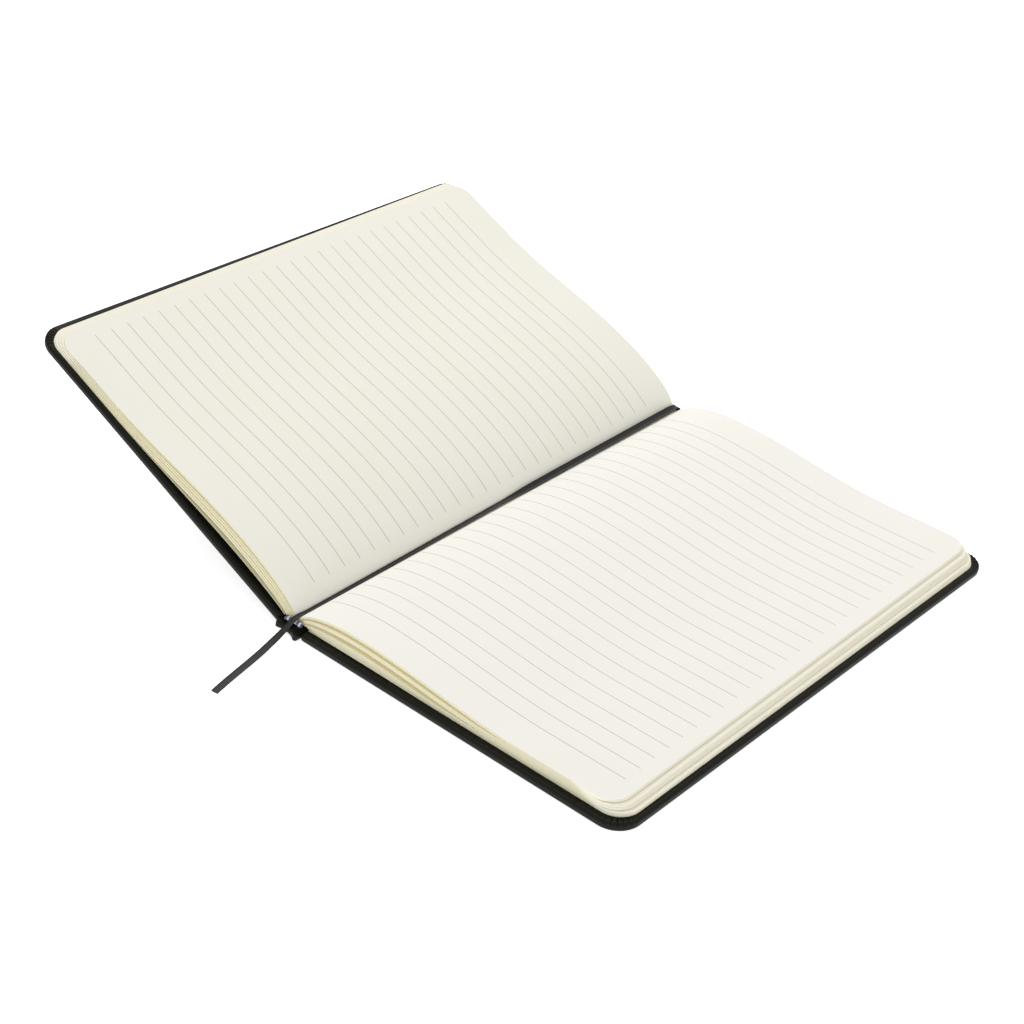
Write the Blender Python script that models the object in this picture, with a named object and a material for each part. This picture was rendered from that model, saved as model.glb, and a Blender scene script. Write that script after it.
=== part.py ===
"""Open ruled notebook: a hard case with rounded corners, sewn signatures and a ribbon marker.

Metres, +Z up. The back cover lies flat, the front cover is raised, the spine runs along Y.
"""
import math

import bmesh
import bpy
from mathutils import Matrix, Vector

for old in list(bpy.data.objects):
    bpy.data.objects.remove(old, do_unlink=True)

MM = 0.001

# Driving dimensions, in millimetres
COVER_HEIGHT = 210.0
COVER_WIDTH = 132.5
COVER_THICK = 3.0
COVER_CORNER = 8.2
SPINE_WIDTH = 9.8
SPINE_THICK = 2.2
SKIN = 0.4
TURN_IN = 15.0
PAGE_SQUARE = 1.8
PAGE_CORNER = 6.5
SHEET = 0.15
SIGNATURE = 0.6
RIGHT_SWELL = 0.18
FRONT_RAISE_DEG = 24.58
SPINE_TILT_DEG = 10.0
RIBBON_WIDTH = 2.5
RIBBON_THICK = 0.3
RIBBON_FREE = 43.0

BAND_RADIUS = 0.8
BAND_LENGTH = 7.4
BAND_SOFT = 0.3
BAND_RISE = 0.55
LINING = 0.23
LINING_DROP = 0.12
LINING_SHORT = 3.0
LINING_LAP = 0.2
SPINE_DROP = 0.2
SPINE_END = 0.4
SPINE_TURN_IN = 1.2
RIBBON_TAIL_SEAT = 1.35
RIBBON_HEAD_SEAT = 4.2
RIBBON_SWAY = 6.2
RIBBON_FOLD = 0.85
RIBBON_PINCH = 0.48
RIBBON_CLEAR = 0.25

# Soft rims, in millimetres
COVER_SOFT = 1.1
BOARD_SOFT = 0.7
SPINE_SOFT = 0.7
WINDOW_CORNER = 2.0

# Clearances, in millimetres
FIT = 0.05
SEAT = 0.06
LEAF_SEAT = 0.09
HINGE_GAP = 1.1
HINGE_SLACK = 0.18
SPINE_PROUD = 1.3
RIGHT_AIR = 0.14
LEFT_AIR = 0.09
FOLD_AIR = 0.176

# Pages: folds along the spine from its middle, humps of each sheet over its fore-edge,
# where it comes down, and how far its fore-edge stands in from the cover's
FIRST_FOLD = 0.5
RIGHT_LAST_STEP = 1.472
LEFT_LAST_STEP = 0.922
RIGHT_HUMPS = (0.8, 1.7, 3.75, 4.0, 5.1)
RIGHT_LANDS = (62.0, 62.0, 80.0, 80.0, 92.0)
RIGHT_INSETS = (1.95, 2.15, 3.45, 4.0, 5.8)
LEFT_HUMPS = (4.5, 4.65, 4.8, 4.95, 5.7)
LEFT_LANDS = (92.0, 92.0, 94.0, 94.0, 98.0)
LEFT_INSETS = (2.0, 2.4, 3.2, 3.8, 5.0)
LEAF_SHEET = 0.2
LEAF_HUMP = 5.2
LEAF_INSET = 6.05
RIGHT_PEAK = 22.0
RIGHT_STEEP = 1.11
LEFT_PEAK = 27.0
LEFT_STEEP = 1.24
BACK_FLY_HUMP = 0.5
FRONT_FLY_HUMP = 2.3
FLY_START = 1.2
FLY_INSET = 1.85

# Hinge axes: how far off a board's end, and how far above its inner face
HINGE_OFF = 2.6
HINGE_OVER = 1.5

# Creases: thin skin folded up beside a board, from its end towards the spine
CREASE_FOOT = 0.5
CREASE_TOP = 2.0
CREASE_WALL = 0.2
CREASE_INSET = 0.08
BACK_CREASE = 0.72
FRONT_CREASE = 0.56

# Facets
PATH_STEPS = 12
CORNER_STEPS = 7
NOSE = 0.6

# Derived sizes
PAGE_HALF = COVER_HEIGHT / 2 - PAGE_SQUARE
SPAN = SPINE_WIDTH + 2 * (HINGE_GAP + HINGE_SLACK)
RAISE = math.radians(FRONT_RAISE_DEG)
SPINE_TILT = math.radians(SPINE_TILT_DEG)
FRONT_X = -SPAN * math.cos(SPINE_TILT)
FRONT_Z = SPAN * math.sin(SPINE_TILT)


def left_frame():
    """Matrix from the raised front cover's own lengths to the part."""
    c = math.cos(RAISE)
    s = math.sin(RAISE)
    return Matrix(((-c, 0, s, FRONT_X), (0, 1, 0, 0), (s, 0, c, FRONT_Z), (0, 0, 0, 1)))


def tilted_frame(middle, tilt):
    """Matrix from lengths across a spine, along it and out of it to the part."""
    c = math.cos(tilt)
    s = math.sin(tilt)
    return Matrix(((c, 0, s, middle[0]), (0, 1, 0, 0), (-s, 0, c, middle[1]), (0, 0, 0, 1)))


RIGHT = Matrix.Identity(4)
LEFT = left_frame()
SPINE = tilted_frame((FRONT_X / 2, FRONT_Z / 2), SPINE_TILT)
BACK_AXIS = Vector((-HINGE_OFF, 0, COVER_THICK + HINGE_OVER))
FRONT_AXIS = LEFT @ BACK_AXIS
ACROSS = BACK_AXIS - FRONT_AXIS
BLOCK_TILT = math.atan2(-ACROSS.z, ACROSS.x)
BLOCK_MIDDLE = (BACK_AXIS + FRONT_AXIS) / 2
BLOCK = tilted_frame((BLOCK_MIDDLE.x, BLOCK_MIDDLE.z), BLOCK_TILT)


def finish(name, colour, rough):
    """A plain material."""
    made = bpy.data.materials.new(name)
    made.use_nodes = True
    node = made.node_tree.nodes["Principled BSDF"]
    node.inputs["Base Color"].default_value = (*colour, 1)
    node.inputs["Roughness"].default_value = rough
    return made


LEATHER = finish("leather", (0.018, 0.018, 0.016), 0.5)
GREYBOARD = finish("board", (0.33, 0.30, 0.26), 0.9)
PAPER = finish("paper", (0.85, 0.83, 0.74), 0.85)
ENDPAPER = finish("endpaper", (0.80, 0.77, 0.66), 0.85)
CRASH = finish("lining", (0.50, 0.42, 0.30), 0.9)
BAND = finish("band", (0.18, 0.22, 0.42), 0.7)
RIBBON = finish("ribbon", (0.045, 0.045, 0.043), 0.6)


def add(name, bm, material, frame):
    """Turns a mesh in millimetres, in a frame's own lengths, into a node."""
    bmesh.ops.recalc_face_normals(bm, faces=bm.faces)
    bm.transform(frame)
    if bm.calc_volume(signed=True) < 0:
        bmesh.ops.reverse_faces(bm, faces=bm.faces)
    bm.transform(Matrix.Scale(MM, 4))
    mesh = bpy.data.meshes.new(name)
    bm.to_mesh(mesh)
    bm.free()
    mesh.materials.append(material)
    mesh.shade_smooth()
    mesh.set_sharp_from_angle(angle=math.radians(35))
    node = bpy.data.objects.new(name, mesh)
    bpy.context.scene.collection.objects.link(node)
    return node


def cut(node, cutter):
    """Takes a cutter's volume out of a node and drops the cutter."""
    tool = node.modifiers.new("cut", "BOOLEAN")
    tool.operation = "DIFFERENCE"
    tool.solver = "EXACT"
    tool.object = cutter
    bpy.context.view_layer.update()
    with bpy.context.temp_override(object=node, active_object=node):
        bpy.ops.object.modifier_apply(modifier=tool.name)
    bpy.data.objects.remove(cutter, do_unlink=True)


def extruded(outline, axis, start, end):
    """A mesh with a flat outline drawn out from start to end along an axis (1 is Y, 2 is Z)."""
    bm = bmesh.new()
    corners = []
    for a, b in outline:
        place = (a, start, b) if axis == 1 else (a, b, start)
        corners.append(bm.verts.new(place))
    face = bm.faces.new(corners)
    grown = bmesh.ops.extrude_face_region(bm, geom=[face])
    moved = [g for g in grown["geom"] if isinstance(g, bmesh.types.BMVert)]
    step = Vector((0, end - start, 0)) if axis == 1 else Vector((0, 0, end - start))
    bmesh.ops.translate(bm, verts=moved, vec=step)
    bmesh.ops.recalc_face_normals(bm, faces=bm.faces)
    return bm


def board_outline(x0, x1, half, radius, steps=CORNER_STEPS):
    """A board seen from above: square at the hinge, round corners at the fore-edge."""
    points = [(x0, -half)]
    for side in (-1, 1):
        for k in range(steps + 1):
            turn = math.pi / 2 * (k / steps if side < 0 else 1 - k / steps)
            x = x1 - radius + radius * math.sin(turn)
            points.append((x, side * (half - radius + radius * math.cos(turn))))
    points.append((x0, half))
    return points


def slab(x0, x1, half, radius, z0, z1, soft=0.0):
    """A board with round fore-edge corners, its rim softened all round but at the hinge."""
    bm = extruded(board_outline(x0, x1, half, radius), 2, z0, z1)
    if soft:
        rim = []
        for edge in bm.edges:
            flat = abs(edge.verts[0].co.z - edge.verts[1].co.z) < 1e-6
            at_hinge = all(abs(v.co.x - x0) < 1e-6 for v in edge.verts)
            if flat and not at_hinge:
                rim.append(edge)
        bmesh.ops.bevel(bm, geom=rim, offset=soft, segments=3, profile=0.5, affect="EDGES")
    return bm


def cover(side, frame):
    """A covered board: skin wrapped over the edges, greyboard inside, pastedown between turn-ins."""
    half = COVER_HEIGHT / 2
    inner = COVER_THICK - SKIN
    outside = slab(0, COVER_WIDTH, half, COVER_CORNER, 0, COVER_THICK, COVER_SOFT)
    skin = add(side + "_skin", outside, LEATHER, frame)
    lip = SKIN
    hollow = slab(lip, COVER_WIDTH - lip, half - lip, COVER_CORNER - lip, SKIN, inner, BOARD_SOFT)
    cut(skin, add("hollow", hollow, LEATHER, frame))
    rim = TURN_IN
    window = slab(rim, COVER_WIDTH - rim, half - rim, WINDOW_CORNER, inner - SKIN, COVER_THICK + SKIN)
    cut(skin, add("window", window, LEATHER, frame))
    lip = SKIN + FIT
    board = slab(lip, COVER_WIDTH - lip, half - lip, COVER_CORNER - lip, lip, inner - FIT, BOARD_SOFT)
    add(side + "_board", board, GREYBOARD, frame)
    lip = TURN_IN + 2 * FIT
    paste = slab(lip, COVER_WIDTH - lip, half - lip, WINDOW_CORNER, inner, COVER_THICK - FIT)
    add(side + "_pastedown", paste, ENDPAPER, frame)


def page_path(fold, level, hump, bend):
    """Places along a page in its cover's own lengths: steep at the fold, over a hump, then flat."""
    peak, land, steep = bend
    rise = []
    for k in range(PATH_STEPS + 1):
        turn = math.pi / 2 * k / PATH_STEPS
        x = fold[0] + (peak - fold[0]) * (1 - math.cos(turn))
        rise.append((x, fold[1] + (level + hump - fold[1]) * math.sin(turn) ** steep))
    for k in range(1, PATH_STEPS + 1):
        share = k / PATH_STEPS
        x = peak + (land - peak) * share
        rise.append((x, level + hump * (1 + math.cos(math.pi * share)) / 2))
    return rise


def bent_sheet(path, inset, thick, swell, nose):
    """A sheet or signature laid along a path, swelling off its fold, with round fore-edge corners."""
    level = path[-1][1]
    edge = COVER_WIDTH - inset
    rows = [(x, z, PAGE_HALF) for x, z in path]
    for k in range(CORNER_STEPS + 1):
        turn = math.pi / 2 * k / CORNER_STEPS
        x = edge - PAGE_CORNER + PAGE_CORNER * math.sin(turn)
        rows.append((x, level, PAGE_HALF - PAGE_CORNER + PAGE_CORNER * math.cos(turn)))
    bm = bmesh.new()
    rings = []
    for k, (x, z, reach) in enumerate(rows):
        before = rows[max(k - 1, 0)]
        after = rows[min(k + 1, len(rows) - 1)]
        along = Vector((after[0] - before[0], 0, after[1] - before[1])).normalized()
        if k == 0:
            along = Vector((0, 0, 1)) if nose else along
        out = Vector((-along.z, 0, along.x))
        rise = (thick + swell * min(k / PATH_STEPS, 1)) / 2
        if k == 0 and nose:
            rise *= NOSE
        ring = []
        for up, y in ((-1, -reach), (-1, reach), (1, reach), (1, -reach)):
            ring.append(bm.verts.new(Vector((x, y, z)) + out * rise * up))
        rings.append(ring)
    for a, b in zip(rings, rings[1:]):
        for j in range(4):
            i = (j + 1) % 4
            bm.faces.new((a[j], a[i], b[i], b[j]))
    bm.faces.new(rings[0])
    bm.faces.new(reversed(rings[-1]))
    return bm


def fold_place(across, frame):
    """Where a fold stands, in its cover's own lengths."""
    place = frame.inverted() @ (BLOCK @ Vector((across, 0, 0)))
    return place.x, place.z


def fold_row(count, last_step):
    """How far each fold stands from the middle of the block, from the cover inwards."""
    row = [FIRST_FOLD + (SIGNATURE + FOLD_AIR) * k for k in range(count - 1)]
    row.append(row[-1] + last_step)
    return row[::-1]


def flyleaf(name, frame, hump, bend):
    """The loose half of an endpaper, lying on its cover."""
    level = COVER_THICK + SEAT + SHEET / 2
    path = page_path((FLY_START, level), level, hump, bend)
    add(name, bent_sheet(path, FLY_INSET, SHEET, 0, False), ENDPAPER, frame)


def stack(side, frame, folds, bends, insets, swell, air):
    """The signatures over a flyleaf, each a folded bundle of sheets. Gives the level of the top."""
    level = COVER_THICK + SHEET + 2 * SEAT
    thick = SIGNATURE + swell
    for k, (across, (hump, bend), inset) in enumerate(zip(folds, bends, insets)):
        path = page_path(fold_place(across, frame), level + thick / 2, hump, bend)
        body = bent_sheet(path, inset, SIGNATURE, swell, True)
        add("%s_signature_%d" % (side, k + 1), body, PAPER, frame)
        level += thick + air
    return level - air


def turning_leaf(top, bend):
    """The single leaf on top of the right pages, free to turn about its fold."""
    fold = fold_place(0, RIGHT)
    path = page_path(fold, top + LEAF_SEAT + LEAF_SHEET / 2, LEAF_HUMP, bend)
    add("turning_leaf", bent_sheet(path, LEAF_INSET, LEAF_SHEET, 0, True), PAPER, RIGHT)


def hinge_fold(side, frame, far):
    """The thin skin folded up into the groove between a board and the spine."""
    near = -CREASE_INSET
    inner = (near - CREASE_WALL, far + CREASE_WALL)
    under = CREASE_TOP - CREASE_WALL
    outline = [(near, CREASE_FOOT), (near, CREASE_TOP), (far, CREASE_TOP), (far, CREASE_FOOT)]
    outline += [(inner[1], CREASE_FOOT), (inner[1], under), (inner[0], under), (inner[0], CREASE_FOOT)]
    half = COVER_HEIGHT / 2 - CREASE_WALL
    add(side + "_hinge_fold", extruded(outline, 1, -half, half), LEATHER, frame)


def strip(inset, short, low, high):
    """A flat strip along the spine, set in from its sides and its ends."""
    reach = SPINE_WIDTH / 2 - inset
    half = COVER_HEIGHT / 2 + SPINE_PROUD - short
    return extruded([(-reach, -half), (reach, -half), (reach, half), (-reach, half)], 2, low, high)


def spine():
    """The spine: a stiffener in a skin that stands a little proud at head and tail."""
    low = -SPINE_DROP
    high = low + SPINE_THICK
    body = strip(0, 0, low, high)
    rim = [e for e in body.edges if abs(e.verts[0].co.z - e.verts[1].co.z) < 1e-6]
    bmesh.ops.bevel(body, geom=rim, offset=SPINE_SOFT, segments=3, profile=0.5, affect="EDGES")
    skin = add("spine_skin", body, LEATHER, SPINE)
    ends = SKIN + SPINE_END
    cut(skin, add("hollow", strip(SKIN, ends, low + SKIN, high - SKIN), LEATHER, SPINE))
    window = strip(SPINE_TURN_IN, TURN_IN, high - 2 * SKIN, high + SKIN)
    cut(skin, add("window", window, LEATHER, SPINE))
    board = strip(SKIN + FIT, ends + FIT, low + SKIN + FIT, high - SKIN - FIT)
    add("spine_board", board, GREYBOARD, SPINE)


def lining(right_reach, left_reach):
    """The strip glued across the backs of the folds."""
    half = PAGE_HALF - LINING_SHORT
    square = [(-left_reach, -half), (right_reach, -half), (right_reach, half), (-left_reach, half)]
    add("spine_lining", extruded(square, 2, -LINING_DROP - LINING, -LINING_DROP), CRASH, BLOCK)


def end_band(name, sign):
    """A rolled cloth band across the folds at one end of the block."""
    bm = bmesh.new()
    turn = Matrix.Rotation(math.pi / 2, 4, "Y")
    place = Matrix.Translation((2 * FIT, sign * (PAGE_HALF + BAND_RADIUS + 2 * FIT), BAND_RISE))
    bmesh.ops.create_cone(
        bm, cap_ends=True, segments=14, radius1=BAND_RADIUS, radius2=BAND_RADIUS,
        depth=BAND_LENGTH, matrix=place @ turn,
    )
    caps = [e for e in bm.edges if abs(e.verts[0].co.x - e.verts[1].co.x) < 1e-6]
    bmesh.ops.bevel(bm, geom=caps, offset=BAND_SOFT, segments=2, profile=0.5, affect="EDGES")
    add(name, bm, BAND, BLOCK)


def ribbon_course():
    """Middle places of the ribbon, each with how far it is folded there: 0 flat, 1 pinched in the gutter."""
    head = PAGE_HALF
    over_band = BAND_RISE + BAND_RADIUS + RIBBON_THICK / 2 + RIBBON_CLEAR
    middle_seat = (RIBBON_TAIL_SEAT + RIBBON_HEAD_SEAT) / 2
    seats = [
        (0.0, head - 8, -0.57, 0), (0.0, head + 2.0, -0.57, 0), (0.0, head + 2.45, -0.3, 0),
        (-0.1, head + 2.6, 0.5, 0), (-0.3, head + 2.5, 2.0, 0), (-0.5, head + 1.4, 3.4, 0),
        (-0.2, head - 1.0, RIBBON_HEAD_SEAT, 0.1), (-0.2, 0.0, middle_seat, 0.55),
        (-0.2, 6 - head, RIBBON_TAIL_SEAT, 1), (-0.2, -head - 0.9, over_band, 0.6),
    ]
    course = [(BLOCK @ Vector(seat[:3]), seat[3]) for seat in seats]
    start = course[-1][0]
    low = RIBBON_THICK / 2 + FIT
    for share in (0.05, 0.1, 0.2, 0.32, 0.46, 0.62, 0.8, 1.0):
        x = start.x + RIBBON_SWAY * share ** 1.3
        y = start.y - 0.9 - RIBBON_FREE * share * 0.9
        z = low + (start.z - low) * (1 - share) ** 4
        course.append((Vector((x, y, z)), max(0, 0.6 - 3 * share)))
    return course


def ribbon():
    """A flat woven strip swept along its course, its width across the spine, pinched in the gutter."""
    course = ribbon_course()
    across = Vector((1, 0, -math.tan(BLOCK_TILT)))
    bm = bmesh.new()
    rings = []
    for k, (place, pinch) in enumerate(course):
        before = course[max(k - 1, 0)][0]
        after = course[min(k + 1, len(course) - 1)][0]
        along = (after - before).normalized()
        wide = (across - along * along.dot(across)).normalized()
        up = along.cross(wide).normalized()
        half = RIBBON_WIDTH / 2 * (1 - RIBBON_PINCH * pinch)
        ring = []
        for a, b in ((-1, -1), (0, -1), (1, -1), (1, 1), (0, 1), (-1, 1)):
            rise = RIBBON_FOLD * pinch * abs(a) + RIBBON_THICK / 2 * b
            ring.append(bm.verts.new(place + wide * a * half + up * rise))
        rings.append(ring)
    for a, b in zip(rings, rings[1:]):
        for j in range(6):
            i = (j + 1) % 6
            bm.faces.new((a[j], b[j], b[i], a[i]))
    bm.faces.new(reversed(rings[0]))
    bm.faces.new(rings[-1])
    add("ribbon_marker", bm, RIBBON, RIGHT)


def centre_underside():
    """Moves the part so that its origin is the middle of its underside, leaving out the loose ribbon."""
    nodes = [o for o in bpy.context.scene.collection.objects if o.type == "MESH"]
    firm = []
    for node in nodes:
        if node.name != "ribbon_marker":
            firm += [v.co for v in node.data.vertices]
    low = Vector([min(p[i] for p in firm) for i in range(3)])
    high = Vector([max(p[i] for p in firm) for i in range(3)])
    shift = Vector((-(low.x + high.x) / 2, -(low.y + high.y) / 2, -low.z))
    for node in nodes:
        node.data.transform(Matrix.Translation(shift))
    return shift


def hang(name, place, carried):
    """An empty on a hinge line, carrying the nodes that turn about it."""
    pivot = bpy.data.objects.new(name, None)
    bpy.context.scene.collection.objects.link(pivot)
    pivot.location = place
    pivot.empty_display_size = 5 * MM
    for node in bpy.context.scene.collection.objects:
        if node.type == "MESH" and node.name.startswith(carried):
            node.parent = pivot
            node.matrix_parent_inverse = Matrix.Translation(-Vector(place))


right_folds = fold_row(len(RIGHT_HUMPS), RIGHT_LAST_STEP)
left_folds = fold_row(len(LEFT_HUMPS), LEFT_LAST_STEP)
cover("back", RIGHT)
cover("front", LEFT)
spine()
hinge_fold("back", RIGHT, -BACK_CREASE * HINGE_GAP)
hinge_fold("front", LEFT, -FRONT_CREASE * HINGE_GAP)
lining(right_folds[0] + LINING_LAP, left_folds[0] + LINING_LAP)
end_band("head_band", 1)
end_band("tail_band", -1)
right_bends = [(RIGHT_PEAK, land, RIGHT_STEEP) for land in RIGHT_LANDS]
left_bends = [(LEFT_PEAK, land, LEFT_STEEP) for land in LEFT_LANDS]
flyleaf("back_flyleaf", RIGHT, BACK_FLY_HUMP, right_bends[0])
flyleaf("front_flyleaf", LEFT, FRONT_FLY_HUMP, left_bends[0])
right_rows = list(zip(RIGHT_HUMPS, right_bends))
top = stack("right", RIGHT, right_folds, right_rows, RIGHT_INSETS, RIGHT_SWELL, RIGHT_AIR)
mirrored = [-across for across in left_folds]
stack("left", LEFT, mirrored, list(zip(LEFT_HUMPS, left_bends)), LEFT_INSETS, 0, LEFT_AIR)
turning_leaf(top, right_bends[-1])
ribbon()
moved = centre_underside()
hang("back_hinge", BACK_AXIS * MM + moved, ("spine", "back_hinge_fold", "front_hinge_fold", "head", "tail"))
hang("front_hinge", FRONT_AXIS * MM + moved, ("front_skin", "front_board", "front_p", "front_fly", "left"))
hang("leaf_hinge", BLOCK_MIDDLE * MM + moved, ("turning_leaf",))
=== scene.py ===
"""The looks of an open hardcover notebook with ruled pages, dressed over its solid model."""

import logging
import math
from collections.abc import Callable
from dataclasses import dataclass, field
from enum import Enum

import bmesh
import bpy
from bpy.types import Material, Node, NodeSocket, Object
from mathutils import Matrix, Vector

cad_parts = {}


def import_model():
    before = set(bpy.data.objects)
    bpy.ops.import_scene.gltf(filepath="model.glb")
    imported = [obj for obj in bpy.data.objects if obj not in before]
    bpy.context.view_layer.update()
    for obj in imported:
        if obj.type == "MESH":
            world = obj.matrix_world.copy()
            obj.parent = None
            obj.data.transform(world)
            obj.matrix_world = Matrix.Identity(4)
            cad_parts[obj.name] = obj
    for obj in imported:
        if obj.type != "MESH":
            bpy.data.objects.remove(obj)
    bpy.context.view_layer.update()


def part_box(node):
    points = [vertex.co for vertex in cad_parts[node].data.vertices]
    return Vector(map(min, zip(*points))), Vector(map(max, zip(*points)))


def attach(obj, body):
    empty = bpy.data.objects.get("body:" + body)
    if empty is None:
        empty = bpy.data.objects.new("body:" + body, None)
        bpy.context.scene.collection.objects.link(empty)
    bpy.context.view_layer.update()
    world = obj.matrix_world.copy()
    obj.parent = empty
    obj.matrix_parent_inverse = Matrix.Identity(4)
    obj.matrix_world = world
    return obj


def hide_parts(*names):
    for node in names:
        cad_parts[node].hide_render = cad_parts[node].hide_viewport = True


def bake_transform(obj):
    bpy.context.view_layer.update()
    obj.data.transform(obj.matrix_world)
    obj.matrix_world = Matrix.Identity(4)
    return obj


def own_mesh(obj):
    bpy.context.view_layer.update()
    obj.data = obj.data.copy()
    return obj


LOG = logging.getLogger("notebook")
MM = 0.001
NEAR = 0.001
FLAT_MAP = "flat"
WHITE = (1, 1, 1, 1)
# Which sockets of a mix node carry colours.
MIX_LOW, MIX_HIGH, MIX_RESULT = 6, 7, 2
ACROSS, ALONG, UP = Vector((1, 0, 0)), Vector((0, 1, 0)), Vector((0, 0, 1))

Triple = tuple[float, float, float]
Colour = Triple
Spot = tuple[float, float]
Looks = tuple[NodeSocket, NodeSocket, NodeSocket | None]


def between(ends: Spot, share: float) -> float:
    """A value at a share of the way from one to another."""
    return ends[0] + (ends[1] - ends[0]) * share


def clamp(share: float) -> float:
    """A share kept between 0 and 1."""
    return min(1.0, max(0.0, share))


class Hand(Enum):
    """The two sides of the open book."""

    RIGHT = "right"
    LEFT = "left"

    @property
    def cover(self) -> str:
        """The word for this side's cover in the names of pieces."""
        return "back" if self is Hand.RIGHT else "front"


class Body(Enum):
    """The moving bodies of the book."""

    BACK = "back_cover"
    SPINE = "spine"
    FRONT = "front_cover"
    LEAF = "leaf"


class Pick(Enum):
    """What is selected in edit mode."""

    VERTS = "VERT"
    EDGES = "EDGE"
    FACES = "FACE"


def let_go() -> None:
    """Let go of every object."""
    bpy.ops.object.select_all(action="DESELECT")


def take(obj: Object) -> None:
    """Make one object the only selected and active one.

    Args:
        obj: The object.
    """
    let_go()
    obj.select_set(True)
    bpy.context.view_layer.objects.active = obj


def named(name: str) -> Object:
    """Name the object that an operator has just added, and give it back.

    Args:
        name: The name for the object and its mesh.

    Returns:
        The object.
    """
    obj = bpy.context.active_object
    obj.name = name
    obj.data.name = name
    return obj


def edit() -> None:
    """Go into edit mode on the active object, with all of it selected."""
    bpy.ops.object.mode_set(mode="EDIT")
    pick_all()


def leave() -> None:
    """Go back to object mode."""
    bpy.ops.object.mode_set(mode="OBJECT")


def pick_all() -> None:
    """Select the whole mesh, in edit mode."""
    bpy.ops.mesh.select_all(action="SELECT")


def pick(kind: Pick, test: Callable[..., bool]) -> None:
    """Select what passes a test, in edit mode.

    Args:
        kind: Whether vertices, edges or faces are selected.
        test: Says of one of them whether it is selected.
    """
    bpy.ops.mesh.select_mode(type=kind.value)
    bpy.ops.mesh.select_all(action="DESELECT")
    mesh = bpy.context.edit_object.data
    shape = bmesh.from_edit_mesh(mesh)
    pool = {Pick.VERTS: shape.verts, Pick.EDGES: shape.edges, Pick.FACES: shape.faces}[kind]
    for part in [part for part in pool if test(part)]:
        part.select_set(True)
    shape.select_flush_mode()
    bmesh.update_edit_mesh(mesh)


def cut(along: Vector, places: list[float]) -> None:
    """Cut the whole mesh across a direction at several places, in edit mode.

    Args:
        along: The direction, from the origin.
        places: How far along it each cut is.
    """
    for place in places:
        pick_all()
        bpy.ops.mesh.bisect(plane_co=along * place, plane_no=along)


def reshape(obj: Object, move: Callable[[Vector], Vector]) -> None:
    """Move each vertex of an object to where a function puts it.

    Args:
        obj: The object.
        move: Gives a vertex its new place.
    """
    for vert in obj.data.vertices:
        vert.co = move(vert.co.copy())
    obj.data.update()


def laid(
    name: str, steps: tuple[int, int], place: Callable[[int, int], tuple[Vector, Spot]],
) -> Object:
    """A grid laid over a curved face, with its flat lengths as its UV map.

    Args:
        name: The new object's name.
        steps: How many faces along and across.
        place: Gives the point and the flat place of grid corner (i, j).

    Returns:
        The new object.
    """
    let_go()
    bpy.ops.mesh.primitive_grid_add(x_subdivisions=steps[0], y_subdivisions=steps[1], size=1)
    obj = named(name)
    mesh = obj.data
    flats: list[Spot] = []
    for vert in mesh.vertices:
        i = round((vert.co.x + 0.5) * steps[0])
        j = round((vert.co.y + 0.5) * steps[1])
        vert.co, flat = place(i, j)
        flats.append(flat)
    layer = mesh.uv_layers.active
    layer.name = FLAT_MAP
    for loop in mesh.loops:
        layer.data[loop.index].uv = flats[loop.vertex_index]
    mesh.update()
    return obj


def wall(obj: Object, thick: float, offset: float, rim_slot: int = 0, swell: float = 0.0) -> None:
    """Give an open sheet its thickness.

    Args:
        obj: The sheet.
        thick: The thickness.
        offset: -1 for inwards, 0 for half to each side, 1 for outwards.
        rim_slot: How many material slots further on the rim's finish is.
        swell: How much thicker it is where its vertex group is full.
    """
    take(obj)
    solid = obj.modifiers.new("wall", "SOLIDIFY")
    solid.thickness = thick + swell
    if swell:
        solid.vertex_group = obj.vertex_groups[0].name
        solid.thickness_vertex_group = thick / (thick + swell)
    solid.offset = offset
    solid.use_even_offset = True
    solid.material_offset_rim = rim_slot
    bpy.ops.object.modifier_apply(modifier=solid.name)


def settle(obj: Object, place: Matrix, angle_deg: float) -> None:
    """Put a finished mesh in its place, turn it outwards and shade it.

    Args:
        obj: The object.
        place: From the piece's own frame to the scene.
        angle_deg: Edges that turn by more than this stay sharp.
    """
    obj.data.transform(place)
    take(obj)
    edit()
    bpy.ops.mesh.normals_make_consistent(inside=False)
    leave()
    bpy.ops.object.shade_smooth_by_angle(angle=math.radians(angle_deg))


def dress(obj: Object, *finishes: Material) -> None:
    """Put finishes into an object's slots, in order.

    Args:
        obj: The object.
        finishes: One for each slot.
    """
    obj.data.materials.clear()
    for finish in finishes:
        obj.data.materials.append(finish)


def dress_node(name: str, finish: Material) -> None:
    """Give a solid of the model that stays in sight its finish."""
    for slot in bpy.data.objects[name].material_slots:
        slot.material = finish


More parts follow.
